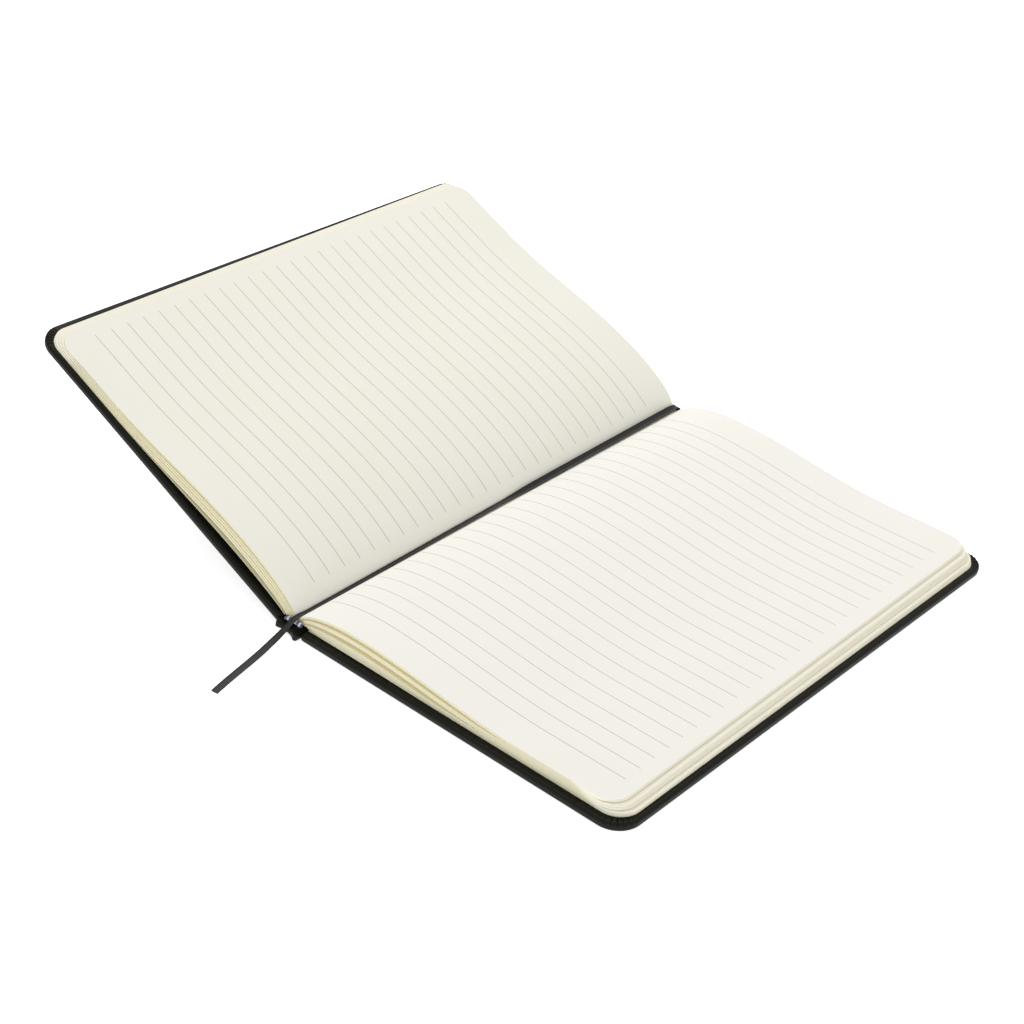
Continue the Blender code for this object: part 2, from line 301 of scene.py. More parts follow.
class NodeBoard:
    """One material's nodes, laid out by short calls."""

    def __init__(self, name: str) -> None:
        """Start a material with its shader.

        Args:
            name: The material's name.
        """
        self.material = bpy.data.materials.new(name)
        self.material.use_nodes = True
        self.tree = self.material.node_tree
        self.shader = self.tree.nodes["Principled BSDF"]

    def feed(self, node: Node, inputs: dict[str | int, object]) -> None:
        """Give a node's sockets links or plain values.

        Args:
            node: The node.
            inputs: What goes into each socket, by its name or place.
        """
        for key, value in inputs.items():
            socket = node.inputs[key]
            if isinstance(value, NodeSocket):
                self.tree.links.new(value, socket)
            else:
                socket.default_value = value

    def node(self, kind: str, inputs: dict[str | int, object], **settings: str) -> Node:
        """Add a node, set its properties and feed its sockets.

        Args:
            kind: The node's type.
            inputs: What goes into each socket, by its name or place.
            settings: The node's properties.

        Returns:
            The new node.
        """
        node = self.tree.nodes.new(kind)
        for key, value in settings.items():
            setattr(node, key, value)
        self.feed(node, inputs)
        return node

    def calc(self, kind: str, first: object, second: object = 0.0) -> NodeSocket:
        """A math node on two values."""
        return self.node("ShaderNodeMath", {0: first, 1: second}, operation=kind).outputs[0]

    def product(self, *factors: object) -> NodeSocket:
        """Several values multiplied.

        Args:
            factors: Sockets or numbers.

        Returns:
            The last node's socket.
        """
        result = factors[0]
        for factor in factors[1:]:
            result = self.calc("MULTIPLY", result, factor)
        return result

    def wave(self, along: NodeSocket, turns: float) -> NodeSocket:
        """A sine along a length."""
        return self.calc("SINE", self.product(along, turns))

    def blend(self, share: object, low: object, high: object) -> NodeSocket:
        """A colour between two colours.

        Args:
            share: How much of the second colour there is.
            low: The first colour, or its socket.
            high: The second colour, or its socket.

        Returns:
            The mixed colour's socket.
        """
        low, high = (tone if isinstance(tone, NodeSocket) else (*tone, 1.0) for tone in (low, high))
        inputs = {"Factor": share, MIX_LOW: low, MIX_HIGH: high}
        return self.node("ShaderNodeMix", inputs, data_type="RGBA").outputs[MIX_RESULT]

    def spread(self, value: object, ends: Spot, given: Spot = (0.0, 1.0)) -> NodeSocket:
        """A value from a given range spread between two numbers.

        Args:
            value: The value's socket.
            ends: What it becomes at both ends of its range.
            given: Its range.

        Returns:
            The new value's socket.
        """
        inputs = {"Value": value, "From Min": given[0], "From Max": given[1]}
        inputs |= {"To Min": ends[0], "To Max": ends[1]}
        return self.node("ShaderNodeMapRange", inputs).outputs[0]

    def spots(self, stretch: Triple = (1, 1, 1)) -> NodeSocket:
        """Object coordinates, stretched."""
        place = self.node("ShaderNodeTexCoord", {}).outputs["Object"]
        return self.node("ShaderNodeMapping", {"Vector": place, "Scale": stretch}).outputs["Vector"]

    def split(self, vector: NodeSocket) -> tuple[NodeSocket, NodeSocket]:
        """The first two parts of a vector."""
        node = self.node("ShaderNodeSeparateXYZ", {"Vector": vector})
        return node.outputs["X"], node.outputs["Y"]

    def flat(self) -> tuple[NodeSocket, NodeSocket]:
        """The two flat lengths of the piece's own UV map, in metres."""
        return self.split(self.node("ShaderNodeUVMap", {}, uv_map=FLAT_MAP).outputs["UV"])

    def noise(self, scale: float, detail: float, stretch: Triple = (1, 1, 1)) -> NodeSocket:
        """A cloudy value from 0 to 1."""
        inputs = {"Vector": self.spots(stretch), "Scale": scale, "Detail": detail}
        return self.node("ShaderNodeTexNoise", inputs).outputs["Fac"]

    def cells(self, scale: float) -> NodeSocket:
        """The distance to the nearest of many scattered points."""
        inputs = {"Vector": self.spots(), "Scale": scale}
        return self.node("ShaderNodeTexVoronoi", inputs, feature="F1").outputs["Distance"]


@dataclass(frozen=True, kw_only=True)
class Finish:
    """What all finishes have: a name, two tones, how rough and shiny, how deep the relief is."""

    name: str
    low: Colour
    high: Colour
    rough: Spot
    shine: float = 0.5
    sheen: Spot = (0.0, 0.5)
    relief: Spot = (0.0, 0.0)

    def looks(self, board: NodeBoard) -> Looks:
        """Lay out the nodes: the colour, what the roughness follows, and the relief if any."""
        raise NotImplementedError

    def material(self) -> Material:
        """Build the finish.

        Returns:
            The new material.
        """
        board = NodeBoard(self.name)
        tone, grain, height = self.looks(board)
        inputs = {"Base Color": tone, "Roughness": board.spread(grain, self.rough)}
        inputs |= {"Specular IOR Level": self.shine}
        inputs |= {"Sheen Weight": self.sheen[0], "Sheen Roughness": self.sheen[1]}
        if height is not None:
            bump = {"Strength": self.relief[0], "Distance": self.relief[1], "Height": height}
            inputs["Normal"] = board.node("ShaderNodeBump", bump).outputs["Normal"]
        board.feed(board.shader, inputs)
        return board.material

    def tone(self, board: NodeBoard, share: NodeSocket) -> NodeSocket:
        """A colour between the two tones."""
        return board.blend(share, self.low, self.high)


@dataclass(frozen=True, kw_only=True)
class Leather(Finish):
    """Black leather-look skin with a fine pressed grain."""

    name: str = "black_skin"
    low: Colour = (0.0040, 0.0040, 0.0024)
    high: Colour = (0.0085, 0.0085, 0.0050)
    rough: Spot = (0.36, 0.52)
    shine: float = 0.13
    sheen: Spot = (0.05, 0.3)
    relief: Spot = (0.32, 0.00012)
    grain: float = 1500.0
    pores: Spot = (5200.0, 2)
    pore_share: float = 0.35
    mottle: Spot = (70.0, 4)

    def looks(self, board: NodeBoard) -> Looks:
        """Lay out its nodes.

        Args:
            board: The material's nodes.

        Returns:
            The colour, what the roughness follows, and the relief if any.
        """
        mottle = board.noise(*self.mottle)
        pores = board.product(board.noise(*self.pores), self.pore_share)
        height = board.calc("ADD", board.cells(self.grain), pores)
        return self.tone(board, mottle), mottle, height


@dataclass(frozen=True, kw_only=True)
class RuledPaper(Finish):
    """Cream writing paper with thin grey-green rules that stop short of the edges."""

    low: Colour = (0.82, 0.80, 0.752)
    high: Colour = (0.80, 0.772, 0.712)
    rough: Spot = (0.82, 0.95)
    shine: float = 0.25
    relief: Spot = (0.10, 0.00004)
    first: float
    pitch: float
    start: float
    end: float
    turn: float = 0.0
    ink: Colour = (0.30, 0.33, 0.29)
    print_share: Spot = (0.8, 1.0)
    rules: int = 26
    half_line: float = 0.00011
    cloud: Spot = (38, 4)
    fibre: Spot = (1800.0, 3)
    fibre_stretch: Triple = (1, 0.35, 1)
    fibre_share: float = 0.12

    def rule_mask(self, board: NodeBoard) -> NodeSocket:
        """One where a rule is printed, zero elsewhere.

        Args:
            board: The material's nodes.

        Returns:
            The mask's socket.
        """
        out, along = board.flat()
        turn = board.calc("DIVIDE", board.calc("SUBTRACT", along, self.first), self.pitch)
        off = board.calc("SUBTRACT", board.calc("FRACT", board.calc("ADD", turn, 0.5)), 0.5)
        near = board.calc("LESS_THAN", board.calc("ABSOLUTE", off), self.half_line / self.pitch)
        low = board.calc("GREATER_THAN", turn, -0.5)
        high = board.calc("LESS_THAN", turn, self.rules - 0.5)
        inner = board.calc("GREATER_THAN", out, self.start)
        turned = board.calc("ADD", out, board.product(along, self.turn))
        outer = board.calc("LESS_THAN", turned, self.end)
        return board.product(near, low, high, inner, outer)

    def looks(self, board: NodeBoard) -> Looks:
        """Lay out its nodes.

        Args:
            board: The material's nodes.

        Returns:
            The colour, what the roughness follows, and the relief if any.
        """
        fibre = board.noise(*self.fibre, self.fibre_stretch)
        paper = self.tone(board, board.noise(*self.cloud))
        soft = board.blend(board.product(fibre, self.fibre_share), paper, self.high)
        printed = board.product(self.rule_mask(board), board.spread(fibre, self.print_share))
        return board.blend(printed, soft, self.ink), fibre, fibre


@dataclass(frozen=True, kw_only=True)
class FibreStock(Finish):
    """Plain pressed fibre: the endpapers and the grey board inside the skins."""

    fibre: Spot
    cloud: Spot = (30, 3)
    cloud_share: float = 0.0

    def looks(self, board: NodeBoard) -> Looks:
        """Lay out its nodes.

        Args:
            board: The material's nodes.

        Returns:
            The colour, what the roughness follows, and the relief if any.
        """
        fibre = board.noise(*self.fibre)
        cloud = board.product(board.noise(*self.cloud), self.cloud_share)
        mixed = board.calc("ADD", board.product(fibre, 1 - self.cloud_share), cloud)
        return self.tone(board, mixed), fibre, fibre


@dataclass(frozen=True, kw_only=True)
class ShadedPaper(Finish):
    """Paper inside the block, with painted shade: a warm darker tone where other sheets shade it, and
    pale along the fore-edge as if lit.
    """

    rough: Spot = (0.85, 0.96)
    shine: float = 0.2
    # Painted glow: how strongly the shaded part of the paper glows in its warm low tone.
    glow: float = 0.0
    # Where along the sheet, from the fold, the painted shade of the low tone fades to the pale high tone.
    fade: Spot = (0.095, 0.120)
    fibre: Spot = (900.0, 3)
    fibre_share: float = 0.1

    def looks(self, board: NodeBoard) -> Looks:
        """Lay out its nodes, with a painted glow: an emission in the shaded part that stands in for the
        light that comes through thin sheets.

        Args:
            board: The material's nodes.

        Returns:
            The colour, what the roughness follows, and the relief if any.
        """
        fibre = board.noise(*self.fibre)
        # Painted shade: 0 deep in the block, where the sheet takes its warm low tone, up to 1 along the
        # fore-edge, where it is pale as if lit.
        light = board.spread(board.flat()[0], (0.0, 1.0), self.fade)
        mixed = board.calc("SUBTRACT", light, board.product(fibre, self.fibre_share))
        # Painted glow: emission in the warm low tone, strongest where the painted shade is.
        if self.glow:
            strength = board.spread(light, (self.glow, 0.0))
            board.feed(board.shader, {"Emission Color": (*self.low, 1.0), "Emission Strength": strength})
        return self.tone(board, mixed), fibre, None


@dataclass(frozen=True, kw_only=True)
class OpenCloth(Finish):
    """The open cloth glued over the backs of the folds, threads over glue."""

    name: str = "lining_cloth"
    low: Colour = (0.30, 0.25, 0.17)
    high: Colour = (0.50, 0.44, 0.32)
    rough: Spot = (0.95, 0.8)
    relief: Spot = (0.4, 0.0001)
    count: float = 5200.0

    def looks(self, board: NodeBoard) -> Looks:
        """Lay out its nodes.

        Args:
            board: The material's nodes.

        Returns:
            The colour, what the roughness follows, and the relief if any.
        """
        threads = [board.wave(axis, self.count) for axis in board.split(board.spots())]
        weave = board.calc("MAXIMUM", *(board.calc("ABSOLUTE", thread) for thread in threads))
        return self.tone(board, weave), weave, weave


@dataclass(frozen=True, kw_only=True)
class StripedCloth(Finish):
    """Blue and white striped cloth of the end bands, stripes round the roll."""

    name: str = "striped_band"
    low: Colour = (0.019, 0.032, 0.135)
    high: Colour = (0.55, 0.56, 0.58)
    rough: Spot = (0.7, 0.9)
    sheen: Spot = (0.15, 0.5)
    relief: Spot = (0.5, 0.00008)
    stripe: float = 0.0017
    thread: float = 0.00026
    weave: Spot = (0.25, 0.75)
    fuzz: Spot = (2600, 3)
    fuzz_share: float = 0.25
    lint: Colour = (0.3, 0.3, 0.34)

    def looks(self, board: NodeBoard) -> Looks:
        """Lay out its nodes.

        Args:
            board: The material's nodes.

        Returns:
            The colour, what the roughness follows, and the relief if any.
        """
        flats = board.flat()
        share = board.calc("FRACT", board.calc("DIVIDE", flats[0], self.stripe))
        tone = self.tone(board, board.calc("GREATER_THAN", share, 0.5))
        threads = [board.wave(axis, 2 * math.pi / self.thread) for axis in flats]
        weave = board.spread(board.product(*threads), self.weave)
        fuzz = board.noise(*self.fuzz)
        faded = board.blend(board.product(fuzz, self.fuzz_share), tone, self.lint)
        return faded, fuzz, weave


@dataclass(frozen=True, kw_only=True)
class RibbonWeave(Finish):
    """Dark grey woven ribbon with ribs across it and firm edges."""

    name: str = "ribbon_weave"
    low: Colour = (0.009, 0.009, 0.007)
    high: Colour = (0.034, 0.034, 0.030)
    rough: Spot = (0.45, 0.65)
    shine: float = 0.3
    sheen: Spot = (0.08, 0.4)
    relief: Spot = (0.45, 0.00008)
    edge: Colour = (0.006, 0.006, 0.005)
    half: float = 0.00125
    selvage: float = 0.0003
    rib: float = 0.00042
    warp: float = 0.6
    warp_share: float = 0.4
    weave: Spot = (0.3, 0.75)
    fuzz: Spot = (1500, 3)

    def looks(self, board: NodeBoard) -> Looks:
        """Lay out its nodes.

        Args:
            board: The material's nodes.

        Returns:
            The colour, what the roughness follows, and the relief if any.
        """
        along, across = board.flat()
        rib = board.wave(along, 2 * math.pi / self.rib)
        warp = board.product(board.wave(across, 2 * math.pi / (self.rib * self.warp)), self.warp_share)
        ribs = board.spread(board.calc("ADD", rib, warp), self.weave)
        fuzz = board.noise(*self.fuzz)
        body = self.tone(board, board.product(ribs, fuzz))
        firm = board.calc("GREATER_THAN", board.calc("ABSOLUTE", across), self.half - self.selvage)
        return board.blend(firm, body, self.edge), fuzz, ribs


@dataclass(frozen=True, kw_only=True)
class PaleFloor(Finish):
    """A plain pale floor."""

    name: str = "pale_floor"
    low: Colour = (0.93, 0.93, 0.93)
    high: Colour = (0.92535, 0.92535, 0.92535)
    rough: Spot = (0.9, 0.9)
    shine: float = 0.1
    glow: float = 0.7
    cloud: Spot = (2, 2)

    def looks(self, board: NodeBoard) -> Looks:
        """Lay out its nodes.

        Args:
            board: The material's nodes.

        Returns:
            The colour, what the roughness follows, and the relief if any.
        """
        cloud = board.noise(*self.cloud)
        board.feed(board.shader, {"Emission Color": WHITE, "Emission Strength": self.glow})
        return self.tone(board, cloud), cloud, None


@dataclass(frozen=True)
class Finishes:
    """All finishes of the book, built once."""

    skin: Material
    right_page: Material
    left_page: Material
    inner_page: Material
    page_edge: Material
    endpaper: Material
    greyboard: Material
    lining: Material
    band: Material
    ribbon: Material

    @classmethod
    def make(cls) -> "Finishes":
        """Build every finish of the book.

        Returns:
            The finishes, by their use.
        """
        right_page = RuledPaper(
            name="right_page", first=-0.0908, pitch=0.007132, start=0.0060, end=0.1288, turn=0.006,
        )
        # The left page is the same paper as the right one, with painted shade: darker, warmer tones for
        # the raised left page.
        left_page = RuledPaper(
            name="left_page", first=-0.0899, pitch=0.007095, start=0.0080, end=0.1277,
            low=(0.79, 0.772, 0.70), high=(0.77, 0.745, 0.66),
        )
        # Inner pages: the tan low tone is painted shade where other sheets shade the paper, and the glow
        # is painted light standing in for light through thin sheets.
        inner_page = ShadedPaper(
            name="inner_page", low=(0.78, 0.715, 0.49), high=(0.82, 0.79, 0.69), glow=0.10,
        )
        # Page edges: the darker, warmer low tone is painted shade on the head and tail edges and near the
        # fold; only the fore-edge is pale.
        page_edge = ShadedPaper(
            name="page_edge", low=(0.68, 0.65, 0.475), high=(0.86, 0.825, 0.68), fade=(0.1175, 0.1225),
        )
        endpaper = FibreStock(
            name="endpaper", low=(0.67, 0.645, 0.49), high=(0.64, 0.61, 0.45), rough=(0.85, 0.96),
            shine=0.2, relief=(0.12, 0.00005), fibre=(900.0, 3), cloud_share=0.6,
        )
        greyboard = FibreStock(
            name="greyboard", low=(0.22, 0.20, 0.165), high=(0.36, 0.33, 0.28), rough=(0.85, 0.95),
            relief=(0.3, 0.00008), fibre=(1400, 5),
        )
        looks = (
            Leather(), right_page, left_page, inner_page, page_edge, endpaper, greyboard, OpenCloth(),
            StripedCloth(), RibbonWeave(),
        )
        return cls(*(look.material() for look in looks))


@dataclass(frozen=True)
class BookFrame:
    """Where the covers, the spine and the block stand, in millimetres."""

    shift: float
    raise_deg: float = 24.58
    front_x: float = -12.172
    front_z: float = 2.146
    spine_tilt_deg: float = 10.0
    block_tilt_deg: float = 7.06
    block_x: float = -5.268
    block_z: float = 4.8285

    def world(self, place: Matrix) -> Matrix:
        """From a place in millimetres to the scene's metres."""
        return Matrix.Scale(MM, 4) @ Matrix.Translation((self.shift, 0, 0)) @ place

    def cover(self, hand: Hand) -> Matrix:
        """From a cover's own frame to the scene."""
        return self.world(self.side(hand))

    def side(self, hand: Hand) -> Matrix:
        """A cover's own frame: out from the hinge, along the spine, up from its outside.

        Args:
            hand: The cover's side.

        Returns:
            From the cover's frame to the back cover's, in millimetres.
        """
        if hand is Hand.RIGHT:
            return Matrix.Identity(4)
        return self.tilted(self.raise_deg, self.front_x, self.front_z) @ Matrix.Scale(-1, 4, ACROSS)

    @staticmethod
    def tilted(angle_deg: float, x: float, z: float) -> Matrix:
        """A frame turned about the spine's direction.

        Args:
            angle_deg: The turn.
            x: How far across its origin is.
            z: How far up its origin is.

        Returns:
            From this frame to the back cover's, in millimetres.
        """
        c = math.cos(math.radians(angle_deg))
        s = math.sin(math.radians(angle_deg))
        return Matrix(((c, 0, s, x), (0, 1, 0, 0), (-s, 0, c, z), (0, 0, 0, 1)))

    def spine(self) -> Matrix:
        """The spine strip's frame."""
        return self.tilted(self.spine_tilt_deg, self.front_x / 2, self.front_z / 2)

    def block(self) -> Matrix:
        """The frame of the folds at the back of the pages."""
        return self.tilted(self.block_tilt_deg, self.block_x, self.block_z)

    def normal(self, hand: Hand) -> Vector:
        """The direction up from a cover, in the scene."""
        return (self.side(hand).to_3x3() @ UP).normalized()

    def body(self, hand: Hand) -> Body:
        """The body that a side's pages move with."""
        return Body.BACK if hand is Hand.RIGHT else Body.FRONT


@dataclass
class Cover:
    """A padded board in its skin, the skin turned in and pleated at the corners."""

    hand: Hand
    book: BookFrame
    finishes: Finishes
    wide: float = 132.5
    tall: float = 210.0
    thick: float = 3.0
    corner: float = 8.2
    corner_steps: int = 90
    soft: float = 1.1
    soft_steps: int = 5
    skin: float = 0.36
    turn_in: float = 15.0
    insets: tuple[float, ...] = (1.2, 1.4, 1.4, 1.4, 1.2)
    merge: float = 0.5
    upward: float = 0.99
    pleats: tuple[Triple, ...] = (
        (14.0, 2.2, 0.20), (26.0, 1.8, 0.30), (38.0, 2.4, 0.26), (50.0, 1.8, 0.30), (63.0, 2.2, 0.28),
        (76.0, 2.4, 0.18),
    )
    pleat_fade: Spot = (0.12, 0.52)
    ridge_at: float = 1.7
    ridge_from: float = 0.75
    tuck_at: float = 114.6
    tuck_deep: float = 0.28
    tuck_half: float = 0.6
    tuck_cuts: int = 5
    tail_out: Spot = (0.5, 0.5)
    fore_out: Spot = (0.2, 0.4)
    sharp_deg: float = 40.0

    def blank(self) -> Object:
        """A slab with round fore-edge corners and soft rims.

        Returns:
            The new object, in edit mode.
        """
        let_go()
        bpy.ops.mesh.primitive_plane_add(size=1)
        obj = named(self.hand.cover + "_cover_skin")
        edit()
        bpy.ops.transform.resize(value=(self.wide, self.tall, 1))
        bpy.ops.transform.translate(value=(self.wide / 2, 0, 0))
        pick(Pick.VERTS, lambda vert: vert.co.x > self.wide / 2)
        bpy.ops.mesh.bevel(offset=self.corner, segments=self.corner_steps, affect="VERTICES")
        pick_all()
        bpy.ops.mesh.extrude_region_move(TRANSFORM_OT_translate={"value": (0, 0, self.thick)})
        pick_all()
        bpy.ops.mesh.normals_make_consistent(inside=False)
        pick(Pick.EDGES, self.is_rim)
        bpy.ops.mesh.bevel(offset=self.soft, segments=self.soft_steps, affect="EDGES")
        return obj

    def is_rim(self, edge: bmesh.types.BMEdge) -> bool:
        """Whether an edge runs level round the board, away from the hinge."""
        low, high = (vert.co for vert in edge.verts)
        return abs(low.z - high.z) < NEAR < max(low.x, high.x)

    def turn_skin_in(self) -> None:
        """Step the inside in from the rim, then open the window where the pastedown lies."""
        pick(Pick.FACES, lambda face: face.normal.z > self.upward and face.calc_area() > self.wide)
        for step in self.insets:
            bpy.ops.mesh.inset(thickness=step, depth=0)
        bpy.ops.mesh.remove_doubles(threshold=self.merge)
        near = sum(self.insets)
        end = near + self.soft
        across = (self.wide - 2 * self.turn_in) / (self.wide - near - end)
        along = (self.tall - 2 * self.turn_in) / (self.tall - 2 * end)
        middle = (self.turn_in - near * across) / (1 - across)
        bpy.ops.mesh.extrude_region()
        bpy.ops.transform.resize(value=(across, along, 1), center_override=(middle, 0, 0))
        bpy.ops.mesh.delete(type="FACE")

    def pleated(self, spot: Vector) -> Vector:
        """Sink the grooves between the pleats of the turned-in skin at a round corner.

        Args:
            spot: A vertex in the cover's own lengths.

        Returns:
            Where the vertex goes.
        """
        if spot.z < self.thick / 2:
            return spot
        x = spot.x - (self.wide - self.corner)
        y = abs(spot.y) - (self.tall / 2 - self.corner)
        if x > 0 and y > 0:
            reach = math.hypot(x, y) / self.corner
            angle = math.degrees(math.atan2(y, x))
            if spot.y > 0:
                angle = 90 - angle
            ridge = clamp((reach - self.ridge_from) / (1 - self.ridge_from))
            groove = 0.0
            for at, half, deep in self.pleats:
                off = (angle - at) / half
                groove += deep * (math.exp(-off * off) - ridge * math.exp(-((off - self.ridge_at) ** 2)))
            start, full = self.pleat_fade
            spot.z -= groove * clamp((reach - start) / (full - start))
        if self.hand is Hand.RIGHT and spot.y < -self.tall / 2 + self.turn_in / 2:
            off = (spot.x - self.tuck_at) / self.tuck_half
            spot.z -= self.tuck_deep * math.exp(-off * off)
        return spot

    def stretched(self, spot: Vector) -> Vector:
        """Bring the rim out at the tail and the fore-edge, as the case isn't quite square.

        Args:
            spot: A vertex in the cover's own lengths.

        Returns:
            Where the vertex goes.
        """
        out = spot.x / self.wide
        tail = 0.5 - spot.y / self.tall
        spot.y -= between(self.tail_out, out) * tail
        spot.x += between(self.fore_out, tail) * out
        return spot

    def build(self) -> None:
        """Model, place and dress the skin, and dress the board and the pastedown."""
        obj = self.blank()
        self.turn_skin_in()
        if self.hand is Hand.RIGHT:
            steps = range(-self.tuck_cuts, self.tuck_cuts + 1)
            cut(ACROSS, [self.tuck_at + self.tuck_half * step / 2 for step in steps])
        leave()
        reshape(obj, self.pleated)
        reshape(obj, self.stretched)
        wall(obj, self.skin, -1)
        settle(obj, self.book.cover(self.hand), self.sharp_deg)
        dress(obj, self.finishes.skin)
        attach(obj, self.book.body(self.hand).value)
        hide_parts(self.hand.cover + "_skin")
        dress_node(self.hand.cover + "_board", self.finishes.greyboard)
        dress_node(self.hand.cover + "_pastedown", self.finishes.endpaper)
        LOG.info("cover skin %s", obj.name)


@dataclass
class Spine:
    """The spine strip in its skin, and the thin skin folded into the groove at each board."""

    book: BookFrame
    finishes: Finishes
    wide: float = 9.8
    half_tall: float = 106.3
    low: float = -0.2
    thick: float = 2.2
    soft: float = 0.7
    soft_steps: int = 4
    skin: float = 0.34
    turn_in: float = 1.2
    end_in: float = 15.0
    cuts: tuple[float, ...] = (-2.6, -1.6, -0.8, 0.0, 0.8, 1.6, 2.6)
    end_cuts: tuple[float, ...] = (0.9, 1.6, 2.4, 3.4, 5.0)
    bump: float = 0.9
    bump_at: float = 4.0
    bump_half: float = 1.5
    bump_out: float = 1.1
    bump_reach: float = 6.0
    crease_half: float = 104.8
    crease_near: float = -0.08
    crease_foot: float = 0.5
    crease_knee: float = 0.9
    crease_top: float = 2.0
    crease_wall: float = 0.2
    crease_steps: int = 8
    crease_rows: int = 40
    creases: dict[Hand, float] = field(default_factory=lambda: {Hand.RIGHT: 0.84, Hand.LEFT: 0.68})
    strip_sharp_deg: float = 40.0
    crease_sharp_deg: float = 50.0

    def bumped(self, spot: Vector) -> Vector:
        """Raise the two folds of skin at the strip's ends, at one vertex.

        Args:
            spot: A vertex in the strip's own lengths.

        Returns:
            Where the vertex goes.
        """
        near = max(0.0, 1 - (self.half_tall - abs(spot.y)) / self.bump_reach)
        off = (abs(spot.x) - self.bump_at) / self.bump_half
        fold = math.exp(-off * off) * near * near
        if spot.z > self.low + self.thick / 2:
            spot.z += self.bump * fold
        spot.y += math.copysign(self.bump_out * fold, spot.y)
        return spot

    def strip(self) -> str:
        """The skin of the strip, open on the inside over its stiffener.

        Returns:
            The new object's name.
        """
        let_go()
        bpy.ops.mesh.primitive_cube_add(size=1)
        obj = named("spine_strip_skin")
        edit()
        bpy.ops.transform.resize(value=(self.wide, 2 * self.half_tall, self.thick))
        bpy.ops.transform.translate(value=(0, 0, self.low + self.thick / 2))
        bpy.ops.mesh.bevel(offset=self.soft, segments=self.soft_steps, affect="EDGES")
        side = self.wide / 2 - self.turn_in
        end = self.half_tall - self.end_in
        cut(ACROSS, [-side, *self.cuts, side])
        ends = [self.half_tall - step for step in (*self.end_cuts, self.end_in)]
        cut(ALONG, [*ends, *(-place for place in ends), 0.0])
        top = self.low + self.thick - NEAR

        def over_board(face: bmesh.types.BMFace) -> bool:
            """Whether a face lies over the bare stiffener."""
            spot = face.calc_center_median()
            return spot.z > top and abs(spot.x) < side and abs(spot.y) < end

        pick(Pick.FACES, over_board)
        bpy.ops.mesh.delete(type="FACE")
        leave()
        reshape(obj, self.bumped)
        wall(obj, self.skin, -1)
        settle(obj, self.book.world(self.book.spine()), self.strip_sharp_deg)
        dress(obj, self.finishes.skin)
        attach(obj, Body.SPINE.value)
        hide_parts("spine_skin")
        return obj.name

    def crease(self, hand: Hand) -> str:
        """The thin skin folded up into the groove between a board and the strip.

        Args:
            hand: The side it is on.

        Returns:
            The new object's name.
        """
        half_wall = self.crease_wall / 2
        near = self.crease_near - half_wall
        far = near - self.creases[hand] + 2 * half_wall
        top = self.crease_top - half_wall
        round_off = (near - far) / 2
        course: list[Spot] = [(near, self.crease_foot), (near, self.crease_knee)]
        for k in range(self.crease_steps + 1):
            turn = math.pi * k / self.crease_steps
            x = near - round_off * (1 - math.cos(turn))
            course.append((x, top - round_off + round_off * math.sin(turn)))
        course += [(far, self.crease_knee), (far, self.crease_foot)]

        def place(i: int, j: int) -> tuple[Vector, Spot]:
            """A grid corner on the folded skin.

            Args:
                i: Its step round the fold.
                j: Its row along the spine.

            Returns:
                The point, in millimetres, and its flat place on the UV map, in metres.
            """
            x, z = course[i]
            y = -self.crease_half + 2 * self.crease_half * j / self.crease_rows
            return Vector((x, y, z)), (i * MM, y * MM)

        name = hand.cover + "_crease"
        obj = laid(name, (len(course) - 1, self.crease_rows), place)
        wall(obj, self.crease_wall, 0)
        frame = self.book.cover(hand)
        settle(obj, frame, self.crease_sharp_deg)
        dress(obj, self.finishes.skin)
        if hand is Hand.RIGHT:
            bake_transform(obj)
        else:
            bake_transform(obj)
        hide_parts(hand.cover + "_hinge_fold")
        return obj.name

    def build(self) -> None:
        """Make the strip and both creases, and dress the stiffener."""
        LOG.info("spine strip %s", self.strip())
        for hand in Hand:
            LOG.info("crease %s", self.crease(hand))
        dress_node("spine_board", self.finishes.greyboard)


@dataclass(frozen=True)
class Bend:
    """How a page leaves its fold: where it peaks, where it lands, how steep it starts."""

    peak: float
    land: float
    steep: float


@dataclass(frozen=True)
class Stack:
    """The signatures of one side, from the cover up: where each starts, arches, lands and ends."""

    thick: float
    air: float
    peak: float
    steep: float
    folds: tuple[float, ...]
    humps: tuple[Spot, ...]
    lands: tuple[float, ...]
    insets: tuple[Spot, ...]
    start: float = 3.27

    def bend(self, land: float) -> Bend:
        """How a sheet of this side bends."""
        return Bend(self.peak, land, self.steep)


@dataclass(frozen=True)
class Sheet:
    """One sheet of paper as it lies.

    It arches by its hump over its level at the fore-edge, which stands in from the cover's by the
    inset. It is shorter by the tail, and thicker by the swell over the hump, where leaves fan out.
    """

    name: str
    fold: Spot
    level: float
    hump: float
    bend: Bend
    inset: float
    thick: float
    face: Material
    tail: float
    swell: float = 0.0


